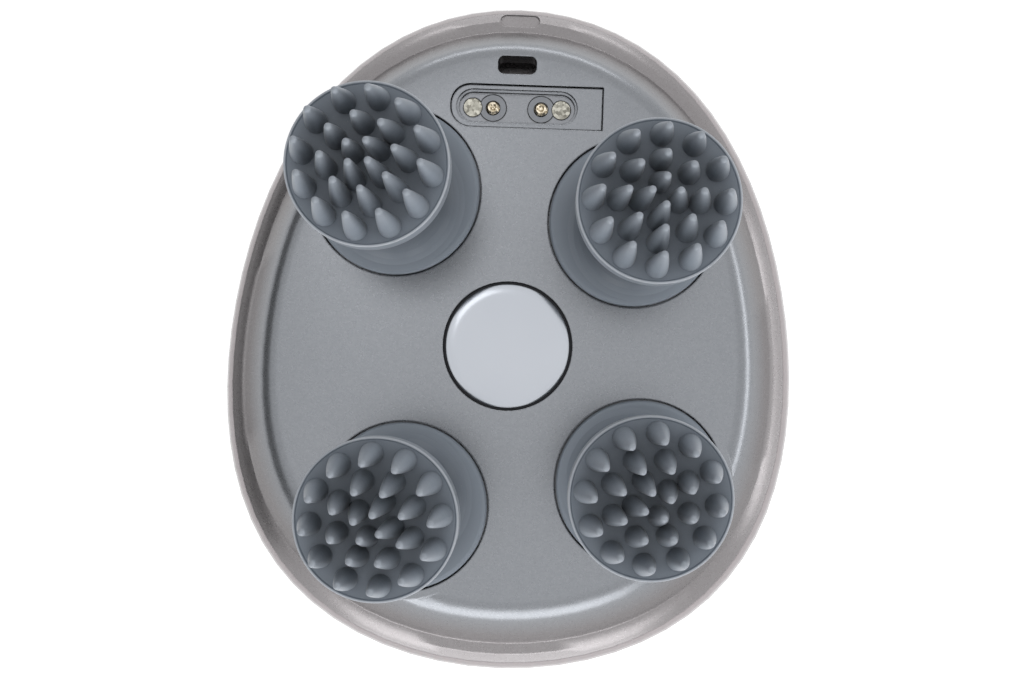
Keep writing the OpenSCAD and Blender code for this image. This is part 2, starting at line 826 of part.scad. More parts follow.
module shaft_rear_right() {
    head_shaft(at_rear_right);
}

// ======== massage heads ========

// Hard core: a base disc on the turning axis and a stem and disc set off from it.
module core_shape() {
    rod([0, 0], head_z, core_base_r, head_z + core_base_h);
    rod([eccentric, 0], head_z, core_stem_r, core_disc_z);
    rod([eccentric, 0], core_disc_z, core_disc_r, core_disc_z + core_disc_h);
}

module head_core(at, turn) {
    color([0.25, 0.26, 0.28]) place(at) rotate(turn) difference() {
        core_shape();
        rod([0, 0], head_z - over, shaft_r, shaft_top);
    }
}

// Half-section of the soft neck and disc: a concave foot, a flare under the disc, the
// disc's side, its raised lip and the bowl that carries the nodes.
neck_steps = 8;
function foot_point(a) = [
    mix(neck_foot_r, neck_r, sin(a)), face_z + base_proud + neck_foot_h * (1 - cos(a))
];
function under_point(a) = [
    mix(neck_r, disc_r - under_edge, 1 - cos(a)), mix(under_low, under_z, sin(a))
];
function bowl_point(f) = [dish_r * f, rim_z - lip_h - dish_depth * (1 - f * f)];
NECK_SECTION = concat(
    [[0, head_z], [neck_foot_r, head_z]],
    [for (k = [0:neck_steps]) foot_point(90 * k / neck_steps)],
    [for (k = [0:neck_steps]) under_point(90 * k / neck_steps)],
    [
        [disc_r, under_z + under_edge], [disc_r, rim_z - lip_w / 3],
        [disc_r - lip_w / 3, rim_z], [disc_r - lip_w, rim_z]
    ],
    [for (f = [1, 0.75, 0.5, 0.25, 0]) bowl_point(f)]
);
BASE_SECTION = [
    [0, head_z], [base_r, head_z], [base_r, face_z - 0.1], [base_r - 0.25, face_z + 0.3],
    [base_r - 0.7, face_z + base_proud], [0, face_z + base_proud]
];

// Tapered massage node with a round tip, standing on the dish.
node_steps = 7;
function node_side(base, f) = node_tip_r + (base - node_tip_r) * (1 - pow(f, 1.3));
function node_section(base) =
    let (body_h = node_l - node_tip_r)
        concat(
            [[0, -node_root], [base, -node_root]],
            [for (i = [0:node_steps]) let (f = i / node_steps) [node_side(base, f), body_h * f]],
            [for (a = [22.5:22.5:67.5]) [node_tip_r * cos(a), body_h + node_tip_r * sin(a)]],
            [[0, node_l]]
        );

module massage_nodes() {
    for (row = NODE_RINGS, i = [0:row[0] - 1]) rotate(360 * i / row[0] - offset_turn)
        translate([row[1] * disc_r, 0, rim_z - dish_depth - node_sink])
            rotate([0, -node_lean, 0]) rotate_extrude() polygon(node_section(row[2]));
}

module massage_head(at, turn) {
    color([0.43, 0.46, 0.50]) place(at) rotate(turn) difference() {
        union() {
            rotate_extrude() polygon(BASE_SECTION);
            translate([eccentric, 0, 0]) {
                rotate_extrude() polygon(NECK_SECTION);
                massage_nodes();
            }
        }
        core_shape();
    }
}

module head_front_left() {
    massage_head(at_front_left, turn_front_left);
}

module head_front_right() {
    massage_head(at_front_right, turn_front_right);
}

module head_rear_left() {
    massage_head(at_rear_left, turn_rear_left);
}

module head_rear_right() {
    massage_head(at_rear_right, turn_rear_right);
}

module core_front_left() {
    head_core(at_front_left, turn_front_left);
}

module core_front_right() {
    head_core(at_front_right, turn_front_right);
}

module core_rear_left() {
    head_core(at_rear_left, turn_rear_left);
}

module core_rear_right() {
    head_core(at_rear_right, turn_rear_right);
}

// ======== motor ========

module motor_can() {
    color([0.68, 0.69, 0.71]) place(motor_at) difference() {
        union() {
            rod([0, 0], motor_z + end_cap_h, motor_r, motor_top - can_edge);
            translate([0, 0, motor_top - can_edge])
                cylinder(r1 = motor_r, r2 = motor_r - can_edge, h = can_edge);
            rod([0, 0], motor_top, motor_boss_r, motor_top + motor_boss_h);
        }
        rod([0, 0], motor_z, motor_shaft_r + run_gap, wheel_z);
    }
}

module motor_end_cap() {
    color([0.13, 0.13, 0.14]) difference() {
        rod(motor_at, motor_z, end_cap_r, motor_z + end_cap_h);
        rod(motor_at, motor_z + end_cap_floor, motor_shaft_r + run_gap, wheel_z);
    }
}

module motor_shaft() {
    color([0.74, 0.74, 0.76])
        rod(motor_at, motor_z + end_cap_floor + hub_gap, motor_shaft_r, wheel_z + wheel_w + 2 * pinion_proud);
}

module motor_pinion() {
    color([0.80, 0.66, 0.34]) difference() {
        place(motor_at, wheel_z - pinion_proud)
            spur(motor_module, motor_teeth, phase_motor, wheel_w + 2 * pinion_proud);
        rod(motor_at, motor_top, motor_shaft_r, tray_top);
    }
}

module motor_clamp() {
    color([0.82, 0.83, 0.80]) difference() {
        union() {
            rod(motor_at, clamp_z, motor_r + clamp_w, clamp_z + clamp_h);
            for (at = CLAMP_PLACES) rod(at, clamp_z, post_r, clamp_z + clamp_h);
            translate([motor_at[0] - clamp_reach, motor_at[1] - post_r, clamp_z])
                cube([2 * clamp_reach, 2 * post_r, clamp_h]);
        }
        rod(motor_at, clamp_z - over, motor_r, tray_z);
        for (at = CLAMP_PLACES) rod(at, clamp_z - over, screw_fine_r, tray_z);
    }
}

module clamp_screws() {
    color([0.66, 0.66, 0.68]) for (at = CLAMP_PLACES) place(at, clamp_z) difference() {
        union() {
            translate([0, 0, -screw_fine_head_h]) cylinder(r = screw_fine_head_r, h = screw_fine_head_h);
            cylinder(r = screw_fine_r, h = clamp_h + screw_grip - over);
        }
        translate([0, 0, -screw_fine_head_h]) mirror([0, 0, 1]) cross_drive();
    }
}

// ======== battery and electronics ========

module rounded_plate(l, w, h, r) {
    linear_extrude(h) slot_outline(l, w, r);
}

module battery_cell() {
    color([0.62, 0.66, 0.70]) translate([0, battery_y, battery_z]) {
        rounded_plate(battery_l - 2 * pouch_edge, battery_w, battery_h, pouch_edge);
        translate([-battery_l / 2, pouch_edge - battery_w / 2, battery_h / 2 - 1])
            cube([battery_l - pouch_edge, battery_w - 2 * pouch_edge, 2]);
    }
}

module battery_pad() {
    color([0.20, 0.20, 0.22]) translate([0, battery_y, battery_z + battery_h])
        rounded_plate(battery_l - 10, battery_w - 10, pad_h, 1);
}

module battery_cradle() {
    roof = cradle_top - cradle_w;
    inner_l = battery_l + 2 * cradle_gap;
    inner_w = battery_w + 2 * cradle_gap;
    outer_l = inner_l + 2 * cradle_w;
    outer_w = inner_w + 2 * cradle_w;
    color([0.82, 0.83, 0.80]) translate([0, battery_y, 0]) {
        difference() {
            translate([0, 0, roof - pad_h - cradle_grip])
                rounded_plate(outer_l, outer_w, cradle_w + pad_h + cradle_grip, 2);
            translate([0, 0, roof - pad_h - cradle_grip - over])
                rounded_plate(inner_l, inner_w, pad_h + cradle_grip + over, 1);
        }
        for (at = CRADLE_POSTS) rod(at, cradle_top, cradle_post_r, tray_z);
    }
}

module circuit_board() {
    color([0.10, 0.33, 0.20]) difference() {
        translate([0, 0, board_z]) rounded_plate(board_l, board_w, board_h, 3);
        for (at = BOARD_POSTS) rod(at, board_z - over, screw_fine_r, board_top + over);
    }
}

module board_screws() {
    color([0.66, 0.66, 0.68]) for (at = BOARD_POSTS) place(at, board_z) difference() {
        union() {
            translate([0, 0, -board_grip]) cylinder(r = screw_fine_r, h = board_h + board_grip);
            translate([0, 0, board_h]) cylinder(r = screw_fine_head_r, h = screw_fine_head_h);
        }
        translate([0, 0, board_h + screw_fine_head_h]) cross_drive();
    }
}

// Chips, coil and light on the board: [x, y, length, width, height].
BOARD_CHIPS = [[-8, 10, 5, 5, 1], [2, 11, 4, 4, 0.9], [9, 10, 4.5, 4.5, 2], [-14, 3, 3, 2, 0.8],
    [14, 3, 3, 2, 0.8], [-2, 16, 2, 1.2, 0.6], [3, 16, 2, 1.2, 0.6]];

module board_components() {
    color([0.12, 0.12, 0.13]) for (c = BOARD_CHIPS)
        translate([c[0] - c[2] / 2, c[1] - c[3] / 2, board_top]) cube([c[2], c[3], c[4]]);
}

// Wire sockets for the battery, motor and charging leads: [x, y, direction the wires leave in].
LEAD_PORTS = [[-19, 8.5, 180], [-17.6, motor_at[1], 0], [14, 15.4, 90]];

module lead_connectors() {
    color([0.90, 0.89, 0.86]) for (port = LEAD_PORTS) translate([port[0], port[1], board_top]) rotate(port[2])
        difference() {
            translate([-port_size / 2, -port_size / 2, 0]) cube([port_size, port_size, port_h]);
            for (side = [-1, 1]) translate([port_size / 2 - port_depth, side * wire_step / 2, port_h / 2])
                rotate([0, 90, 0]) cylinder(r = wire_r + lead_gap, h = port_depth + over);
        }
}

// Places of a lead's last two points, in front of its wire socket and inside it.
function port_mouth(port, out) = [
    port[0] + (port_size / 2 + out) * cos(port[2]), port[1] + (port_size / 2 + out) * sin(port[2]),
    board_top + port_h / 2
];

module tact_switch() {
    color([0.15, 0.15, 0.16]) translate([0, 0, switch_z]) difference() {
        translate([-switch_w / 2, -switch_w / 2, 0]) cube([switch_w, switch_w, switch_h]);
        rod([0, 0], -over, plunger_r + run_gap, plunger_in + button_travel + hub_gap);
    }
}

module switch_plunger() {
    color([0.75, 0.30, 0.22]) translate([0, 0, switch_z - plunger_out])
        cylinder(r = plunger_r, h = plunger_out + plunger_in);
}

// Two round wires side by side along hand-chosen points [x, y, z, half the space between them].
wire_sides = 8;
function unit(v) = v / norm(v);
function spline_at(p, k, t) =
    let (a = p[max(k - 1, 0)], b = p[k], c = p[k + 1], d = p[min(k + 2, len(p) - 1)])
        0.5 * (2 * b + (c - a) * t + (2 * a - 5 * b + 4 * c - d) * t * t
            + (3 * b - a - 3 * c + d) * t * t * t);
function spline(p) = concat(
    [for (k = [0:len(p) - 2], s = [0:3]) spline_at(p, k, s / 4)], [p[len(p) - 1]]);
// Direction from one wire of a pair to the other: level, or as near to `across` as it can be.
function pair_side(d, across) = is_undef(across) ? unit([d[1], -d[0], 0]) : unit(across - d * (d * across));
function xyz(p) = [p[0], p[1], p[2]];
function heading(path, i) = unit(xyz(path[min(i + 1, len(path) - 1)]) - xyz(path[max(i - 1, 0)]));

module tube(path, r, across) {
    n = len(path);
    points = [
        for (i = [0:n - 1])
            let (d = heading(path, i), u = pair_side(d, across), v = cross(d, u))
                each [for (k = [0:wire_sides - 1]) let (a = 360 * k / wire_sides)
                    path[i] + r * (cos(a) * u + sin(a) * v)]
    ];
    polyhedron(points, concat(
        [[for (k = [0:wire_sides - 1]) k]],
        [[for (k = [wire_sides - 1:-1:0]) (n - 1) * wire_sides + k]],
        [for (i = [0:n - 2], k = [0:wire_sides - 1])
            let (a = i * wire_sides + k, b = i * wire_sides + (k + 1) % wire_sides)
                each [[a, b + wire_sides, b], [a, a + wire_sides, b + wire_sides]]]
    ));
}

module wire_pair(route, across) {
    path = spline(route);
    n = len(path);
    for (side = [-1, 1]) color(side < 0 ? [0.70, 0.10, 0.08] : [0.10, 0.10, 0.11])
        tube([
            for (i = [0:n - 1])
                xyz(path[i]) + side * max(path[i][3], wire_step / 2) * pair_side(heading(path, i), across)
        ], wire_r, across);
}

// The first points of a lead, which leaves a face at p in the direction d.
function lead_start(p, d, half, step) = [for (out = [lead_gap, step, 2 * step]) concat(p + out * d, [half])];

function lead_end(port, step) = [
    for (out = [1.5 * step, 0.5 * step, 0.1 - port_depth]) concat(port_mouth(port, out), [wire_step / 2])
];

module battery_lead() {
    half = wire_step / 2;
    start = [-battery_l / 2, battery_y, battery_z + battery_h / 2];
    wire_pair(concat(lead_start(start, [-1, 0, 0], half, 0.5), [
        [-battery_l / 2 - 3.2, battery_y - 1.4, battery_z + 3.2, half],
        [-battery_l / 2 - 4.8, battery_y - 5, battery_z + 1.2, half],
        [-battery_l / 2 - 5, battery_y - 10, board_top + 1.6, half]
    ], lead_end(LEAD_PORTS[0], 1.7)));
}

module motor_lead() {
    cap_side = motor_at[0] - sqrt(pow(end_cap_r, 2) - pow(wire_step / 2 - wire_r, 2));
    wire_pair(concat(lead_start([cap_side, motor_at[1], motor_z + 1.1], [-1, 0, 0], wire_step / 2, 0.35),
        lead_end(LEAD_PORTS[1], 1.1)));
}

module charge_lead() {
    half = wire_step / 2;
    side_y = battery_y + battery_w / 2 + cradle_w;
    wire_pair(concat(lead_start([socket_x, socket_y, contact_low], [0, 0, -1], contact_gap / 2, 1.1), [
        [1.4, socket_y + 2, tray_top - 0.4, half],
        [3, side_y + 2, tray_z - 3, half],
        [7, side_y + 3.4, battery_z + 4.4, half],
        [11.5, side_y + 0.8, board_top + 2.4, half],
        [LEAD_PORTS[2][0], side_y - 7, board_top + port_h / 2, half],
        [LEAD_PORTS[2][0], side_y - 13, board_top + port_h / 2, half]
    ], lead_end(LEAD_PORTS[2], 1.7)), [1, 0, 0]);
}

// ======== power button ========

module button_bezel() {
    inner = button_r + button_gap;
    color([0.80, 0.80, 0.82]) rotate_extrude() polygon([
        [inner, bezel_edge], [inner + bezel_edge, 0], [bezel_r - bezel_edge, 0], [bezel_r, bezel_edge],
        [bezel_r, flat_z], [inner + bezel_wall, flat_z], [inner + bezel_wall, bezel_in], [inner, bezel_in]
    ]);
}

module power_button() {
    flange_r = button_r + button_gap + button_overlap;
    flange_top = button_back + button_flange;
    tip = switch_z - plunger_out;
    color([0.72, 0.70, 0.70]) rotate_extrude() polygon([
        [0, button_sink + button_dish], [button_r * 0.55, button_sink + button_dish * 0.6],
        [button_r - button_dish, button_sink],
        [button_r - button_dish * 0.3, button_sink + button_dish * 0.15],
        [button_r, button_sink + button_dish * 0.6], [button_r, button_back], [flange_r, button_back],
        [flange_r, flange_top], [button_stem_r, flange_top], [button_stem_r, tip], [0, tip]
    ]);
}

// ======== assembly ========

palm_shell();
face_housing();
rim_gasket();
label_disc();
centre_screw();
charge_socket();
charge_contacts();
contact_insulators();
charge_magnets();
gear_tray();
tray_screws();
upper_bushings();
lower_bushings();
shaft_seals();
idler_pins();
compound_pin();
motor_can();
motor_end_cap();
motor_clamp();
clamp_screws();
battery_cell();
battery_cradle();
battery_pad();
circuit_board();
board_screws();
board_components();
lead_connectors();
tact_switch();
button_bezel();
battery_lead();
motor_lead();
charge_lead();
power_button();
switch_plunger();
sun_gear();
compound_gear();
motor_shaft();
motor_pinion();
idler_front();
idler_rear();
head_front_left();
core_front_left();
shaft_front_left();
gear_front_left();
head_front_right();
core_front_right();
shaft_front_right();
gear_front_right();
head_rear_left();
core_rear_left();
shaft_rear_left();
gear_rear_left();
head_rear_right();
core_rear_right();
shaft_rear_right();
gear_rear_right();
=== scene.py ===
"""Looks, light and camera for the palm-held scalp massager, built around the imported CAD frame.

Lengths are in metres: x runs across the massager, y towards its charging end, and z up from the
floor that its domed back lies on. Every CAD node has its origin at the frame's, so a shader's
Object coordinates are frame coordinates at rest, and they turn with a head.
"""

import json
import math

import bmesh
import bpy
from mathutils import Matrix, Vector


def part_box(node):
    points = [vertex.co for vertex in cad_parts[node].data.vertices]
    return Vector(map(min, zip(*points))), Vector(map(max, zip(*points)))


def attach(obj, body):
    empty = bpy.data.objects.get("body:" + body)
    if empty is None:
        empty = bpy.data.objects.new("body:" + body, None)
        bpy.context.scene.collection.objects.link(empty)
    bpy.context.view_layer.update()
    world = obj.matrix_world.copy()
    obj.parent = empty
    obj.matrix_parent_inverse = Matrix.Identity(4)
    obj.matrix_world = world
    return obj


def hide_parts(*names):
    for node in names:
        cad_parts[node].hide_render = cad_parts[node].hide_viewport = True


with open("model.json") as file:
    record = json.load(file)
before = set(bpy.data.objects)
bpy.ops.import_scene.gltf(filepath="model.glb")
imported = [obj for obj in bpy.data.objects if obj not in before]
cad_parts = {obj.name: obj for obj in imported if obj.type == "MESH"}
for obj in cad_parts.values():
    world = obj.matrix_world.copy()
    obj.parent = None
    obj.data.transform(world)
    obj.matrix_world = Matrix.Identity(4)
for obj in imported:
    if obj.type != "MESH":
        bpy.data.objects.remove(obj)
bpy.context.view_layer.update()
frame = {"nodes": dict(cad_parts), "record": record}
BODIES = frame["record"]["behaviour"]["bodies"]
BODY_OF = {node: body for body, nodes in BODIES.items() for node in nodes}
HEADS = ("head_front_left", "head_front_right", "head_rear_left", "head_rear_right")

MM = 0.001

# Walls of gaps and slots over this height belong to the face.
GAP_Z = 36 * MM
# The housing's rim turns into its slope in the first range, and the slope into the face in the
# second.
RIM_END_Z = (33 * MM, 33.8 * MM)
SLOPE_Z = (35 * MM, 39.4 * MM)
# Widest ring of a head's base, and the radius of the collar in the face under it.
BASE_Z = 38.65 * MM
COLLAR_R = 14.25 * MM
# Rim of a head's disc.
RIM_Z = 63.5 * MM
DISC_R = 10.6 * MM

# Most of a noise texture's values lie between these two.
NOISE_RANGE = (0.3, 0.7)


# ---------------------------------------------------------------- node helpers

class Tree:
    """Node tree of a material or a world, with short calls for the nodes this scene uses."""

    def __init__(self, owner, shader="Principled BSDF"):
        owner.use_nodes = True
        self.owner = owner
        self.nodes = owner.node_tree.nodes
        self.links = owner.node_tree.links
        self.shader = self.nodes[shader]
        self.coordinates = None

    def node(self, kind, **settings):
        made = self.nodes.new(kind)
        for key, value in settings.items():
            setattr(made, key, value)
        return made

    def link(self, source, target):
        self.links.new(source, target)

    def put(self, socket, value):
        """Links value to the socket if it is an output, or sets it."""
        if isinstance(value, bpy.types.NodeSocket):
            self.link(value, socket)
        else:
            socket.default_value = value

    def set(self, **values):
        """Sets or links the shader's inputs, named with _ for each space."""
        for key, value in values.items():
            self.put(self.shader.inputs[key.replace("_", " ")], value)

    def math(self, operation, a, b=0.0):
        made = self.node("ShaderNodeMath", operation=operation)
        self.put(made.inputs[0], a)
        self.put(made.inputs[1], b)
        return made.outputs[0]

    def remap(self, value, low, high, to_low, to_high):
        """Value moved from the range low to high into to_low to to_high, and kept inside it."""
        made = self.node("ShaderNodeMapRange")
        self.put(made.inputs["Value"], value)
        numbers = {"From Min": low, "From Max": high, "To Min": to_low, "To Max": to_high}
        for socket, number in numbers.items():
            made.inputs[socket].default_value = number
        return made.outputs["Result"]

    def mix(self, factor, a, b):
        """Colour a where factor is 0, and b where it is 1."""
        made = self.node("ShaderNodeMix", data_type="RGBA")
        # A Mix node has sockets A, B and Result for each type. These are the ones for colours.
        colour_a, colour_b, result = made.inputs[6], made.inputs[7], made.outputs[2]
        self.put(made.inputs["Factor"], factor)
        self.put(colour_a, a)
        self.put(colour_b, b)
        return result

    def bump(self, height, strength, distance, normal=None):
        made = self.node("ShaderNodeBump")
        made.inputs["Strength"].default_value = strength
        made.inputs["Distance"].default_value = distance
        self.link(height, made.inputs["Height"])
        if normal is not None:
            self.link(normal, made.inputs["Normal"])
        return made.outputs["Normal"]

    def position(self):
        if self.coordinates is None:
            self.coordinates = self.node("ShaderNodeTexCoord").outputs["Object"]
        return self.coordinates

    def axes(self, vector=None):
        """X, Y and Z of a vector, or of the place on the object."""
        made = self.node("ShaderNodeSeparateXYZ")
        self.link(self.position() if vector is None else vector, made.inputs[0])
        return made.outputs

    def noise(self, scale, detail, roughness=0.5):
        made = self.node("ShaderNodeTexNoise")
        self.link(self.position(), made.inputs["Vector"])
        made.inputs["Scale"].default_value = scale
        made.inputs["Detail"].default_value = detail
        made.inputs["Roughness"].default_value = roughness
        return made.outputs["Fac"]

    def flakes(self, scale):
        """Three numbers from 0 to 1 that are the same all over a small cell, and differ between."""
        cells = self.node("ShaderNodeTexVoronoi")
        self.link(self.position(), cells.inputs["Vector"])
        cells.inputs["Scale"].default_value = scale
        split = self.node("ShaderNodeSeparateColor")
        self.link(cells.outputs["Color"], split.inputs[0])
        return split.outputs

    def reach(self, centres):
        """Distance across the face from the nearest of the centres."""
        axes = self.axes()
        flat = self.node("ShaderNodeCombineXYZ")
        self.link(axes["X"], flat.inputs[0])
        self.link(axes["Y"], flat.inputs[1])
        nearest = 1.0
        for centre in centres:
            away = self.node("ShaderNodeVectorMath", operation="DISTANCE")
            self.link(flat.outputs[0], away.inputs[0])
            away.inputs[1].default_value = centre
            nearest = self.math("MINIMUM", away.outputs["Value"], nearest)
        return nearest

    def upright(self):
        """1 on walls that stand upright, 0 on surfaces that face up or down."""
        facing = self.axes(self.node("ShaderNodeNewGeometry").outputs["True Normal"])["Z"]
        return self.remap(self.math("ABSOLUTE", facing), 0.25, 0.45, 1, 0)

    def gaps(self):
        """1 on the upright walls of the gaps and slots in the face, but not on the collars."""
        high = self.math("GREATER_THAN", self.axes()["Z"], GAP_Z)
        from_collar = self.math("SUBTRACT", self.reach(ring_centres(BASE_Z)), COLLAR_R)
        open_wall = self.math("GREATER_THAN", self.math("ABSOLUTE", from_collar), 0.3 * MM)
        return self.math("MULTIPLY", self.upright(), self.math("MULTIPLY", high, open_wall))

    def label_recess(self):
        """1 on the floor of the recess that the label lies in."""
        low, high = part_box("label_disc")
        middle = ((low.x + high.x) / 2, (low.y + high.y) / 2, 0)
        radius = (high.x - low.x) / 2
        near = self.math("LESS_THAN", self.reach([middle]), radius + 0.3 * MM)
        below = self.math("LESS_THAN", self.axes()["Z"], high.z - 0.2 * MM)
        return self.math("MULTIPLY", near, below)

    def looked_at(self):
        """1 for rays that see or mirror the surface, 0 for those that only gather its light."""
        path = self.node("ShaderNodeLightPath").outputs
        seen = self.math("MAXIMUM", path["Is Camera Ray"], path["Is Glossy Ray"])
        return self.math("MAXIMUM", seen, path["Is Transmission Ray"])


def new_material(name):
    return Tree(bpy.data.materials.new(name))


def linear(r, g, b):
    """Colour written in sRGB steps from 0 to 255, as the linear colour a shader takes."""
    steps = [c / 255 for c in (r, g, b)]
    return tuple(c / 12.92 if c <= 0.04045 else ((c + 0.055) / 1.055) ** 2.4
                 for c in steps) + (1.0,)


def shaded(colour, factor):
    """Linear colour made darker or paler by factor."""
    return tuple(c * factor for c in colour[:3]) + (1.0,)


def ring_centres(height):
    """Centre of each head's outline at a height, at rest, from the mesh points that lie there."""
    found = []
    for node in HEADS:
        vertices = frame["nodes"][node].data.vertices
        ring = [v.co for v in vertices if abs(v.co.z - height) < 0.02 * MM]
        centre = [(min(p[k] for p in ring) + max(p[k] for p in ring)) / 2 for k in (0, 1)]
        found.append(centre + [0])
    return found


# ---------------------------------------------------------------- materials

# Painted shade for the walls of gaps and slots.
PAINTED_GAP_SHADE = linear(34, 35, 38)


def grained(name, colour, roughness, metallic=0.0, scale=900, spread=0.08, depth=0.01,
            gaps=False, **more):
    """Moulded or machined material with slight clouds and a fine grain, depth deep in mm."""
    tree = new_material(name)
    cloud = tree.noise(scale / 6, 3)
    grain = tree.noise(scale, 4, 0.6)
    tone = tree.mix(cloud, shaded(colour, 1 - spread), shaded(colour, 1 + spread))
    # With gaps set, the walls of the gaps get painted shade.
    tree.set(Base_Color=tree.mix(tree.gaps(), tone, PAINTED_GAP_SHADE) if gaps else tone)
    rougher = min(1, roughness * 1.12)
    tree.set(Roughness=tree.remap(grain, *NOISE_RANGE, roughness * 0.9, rougher))
    tree.set(Metallic=metallic, Normal=tree.bump(grain, 0.4, depth * MM), **more)
    return tree.owner


def mottled_plate(name, scale, dark, pale):
    """Plated metal in small mottled patches, with painted shade where it meets its hole."""
    tree = new_material(name)
    patch = tree.flakes(scale)
    tone = tree.mix(patch[0], dark, pale)
    # Painted shade on the walls of the gaps.
    tree.set(Base_Color=tree.mix(tree.gaps(), tone, PAINTED_GAP_SHADE), Metallic=1.0)
    tree.set(Roughness=tree.remap(patch[1], 0, 1, 0.22, 0.36))
    tree.set(Normal=tree.bump(patch[2], 0.3, 0.02 * MM))
    return tree.owner


def silver_paint():
    """Satin silver: cool face, painted shade and warm reflection lower down, painted shade in gaps.
    """
    tree = new_material("satin_silver_paint")
    # Lower down the housing the tone is painted shade with a painted warm reflection, and at the
    # rim it is a paler painted warm reflection.
    face, slope_shade_and_reflection, rim_reflection = linear(130, 133, 138), linear(114, 110, 111), linear(138, 134, 135)
    # The last of these colours is painted shade for the gap walls and the floor of the label's
    # recess.
    cloud, flake, gap_shade = linear(160, 162, 166), linear(236, 237, 240), linear(28, 29, 32)
    flakes = tree.flakes(5200)
    height = tree.axes()["Z"]
    # Painted shade and painted warm reflection, blended in by height.
    tone = tree.mix(tree.remap(height, *SLOPE_Z, 1, 0), face, slope_shade_and_reflection)
    tone = tree.mix(tree.remap(height, *RIM_END_Z, 1, 0), tone, rim_reflection)
    tone = tree.mix(tree.math("MULTIPLY", tree.noise(45, 3), 0.1), tone, cloud)
    tone = tree.mix(tree.remap(flakes[0], 0, 1, 0, 0.05), tone, flake)
    # Painted shade on the walls of the gaps and on the floor of the label's recess.
    gap_shade_mask = tree.math("MAXIMUM", tree.gaps(), tree.label_recess())
    # Paint rounds every edge a little.
    rounded = tree.node("ShaderNodeBevel", samples=6)
    rounded.inputs["Radius"].default_value = 0.3 * MM
    tree.set(Base_Color=tree.mix(gap_shade_mask, tone, gap_shade))
    tree.set(Roughness=tree.remap(flakes[1], 0, 1, 0.27, 0.32), Metallic=0.8)
    tree.set(Normal=tree.bump(flakes[2], 0.06, 0.02 * MM, rounded.outputs[0]))
    return tree.owner


def pearl_shell():
    """Pinkish pearl under a clear coat."""
    tree = new_material("pearl_shell")
    base, flake = linear(158, 150, 152), linear(246, 240, 241)
    flakes = tree.flakes(4200)
    tone = tree.mix(tree.noise(30, 3), shaded(base, 0.97), shaded(base, 1.03))
    tree.set(Base_Color=tree.mix(tree.remap(flakes[0], 0, 1, 0, 0.05), tone, flake))
    tree.set(Roughness=tree.remap(flakes[1], 0, 1, 0.28, 0.33))
    tree.set(Metallic=0.55, Coat_Weight=0.6, Coat_Roughness=0.12)
    tree.set(Normal=tree.bump(flakes[2], 0.03, 0.01 * MM))
    return tree.owner


def silicone():
    """Slate rubber: painted highlights on disc edges, node tips; painted shade in dish, neck."""
    tree = new_material("slate_silicone")
    # pale is the colour of the painted highlights on the lip and the node tips, and also of the
    # dust.
    base, pale = linear(145, 154, 165), linear(212, 216, 222)
    dish_shade, shadow = linear(30, 38, 48), linear(34, 40, 48)
    radius = tree.reach(ring_centres(RIM_Z))
    height = tree.math("SUBTRACT", tree.axes()["Z"], RIM_Z)
    off_rim = tree.math("ABSOLUTE", height)

    tone = tree.mix(tree.noise(120, 3), shaded(base, 0.95), shaded(base, 1.05))
    # Painted shade in the dish between the nodes.
    inside = tree.remap(radius, DISC_R - 0.6 * MM, DISC_R - 0.45 * MM, 1, 0)
    dish = tree.math("MULTIPLY", inside, tree.remap(off_rim, 1.2 * MM, 2.6 * MM, 0.12, 0))
    tone = tree.mix(dish, tone, dish_shade)
    # Painted highlight that grows toward the node tips.
    tone = tree.mix(tree.remap(height, 3 * MM, 7.6 * MM, 0, 0.3), tone, pale)
    # Painted highlight along the lip of each disc.
    edge = tree.remap(radius, DISC_R - 0.3 * MM, DISC_R - 0.18 * MM, 0, 1)
    lip_highlight = tree.math("MULTIPLY", edge, tree.remap(off_rim, 0.06 * MM, 0.2 * MM, 0.65, 0))
    tone = tree.mix(lip_highlight, tone, pale)

    # Between the nodes the shade follows how closed in a place is. On the neck it follows the
    # distance from the axis that the head turns on.
    closed_in = tree.node("ShaderNodeAmbientOcclusion", samples=8)
    closed_in.inputs["Distance"].default_value = 20 * MM
    beneath = tree.remap(height, -4 * MM, -2.5 * MM, 1, 0)
    in_dish = tree.math("MULTIPLY", tree.remap(closed_in.outputs["AO"], 0.15, 0.85, 0.42, 0),
                        tree.math("SUBTRACT", 1.0, beneath))
    from_axis = tree.reach(ring_centres(BASE_Z))
    on_neck = tree.math("MULTIPLY", beneath, tree.remap(from_axis, 6 * MM, 12.5 * MM, 0.8, 0.02))
    tone = tree.mix(tree.math("ADD", in_dish, on_neck), tone, shadow)

    dust = tree.math("GREATER_THAN", tree.noise(6000, 1), 0.8)
    grain = tree.noise(5200, 3, 0.6)
    tree.set(Base_Color=tree.mix(tree.math("MULTIPLY", dust, 0.3), tone, pale))
    tree.set(Roughness=tree.remap(grain, *NOISE_RANGE, 0.42, 0.52), Specular_IOR_Level=0.45)
    tree.set(Sheen_Weight=0.15, Sheen_Roughness=0.4, Normal=tree.bump(grain, 0.25, 0.01 * MM))
    return tree.owner


def satin_label():
    """Silver foil under a clear dome."""
    tree = new_material("satin_label")
    tone = tree.mix(tree.noise(60, 2), linear(173, 178, 186), linear(185, 189, 196))
    roughness = tree.remap(tree.noise(2400, 3), *NOISE_RANGE, 0.14, 0.18)
    tree.set(Base_Color=tone, Roughness=roughness)
    tree.set(Metallic=0.7, Coat_Weight=0.8, Coat_Roughness=0.04)
    return tree.owner


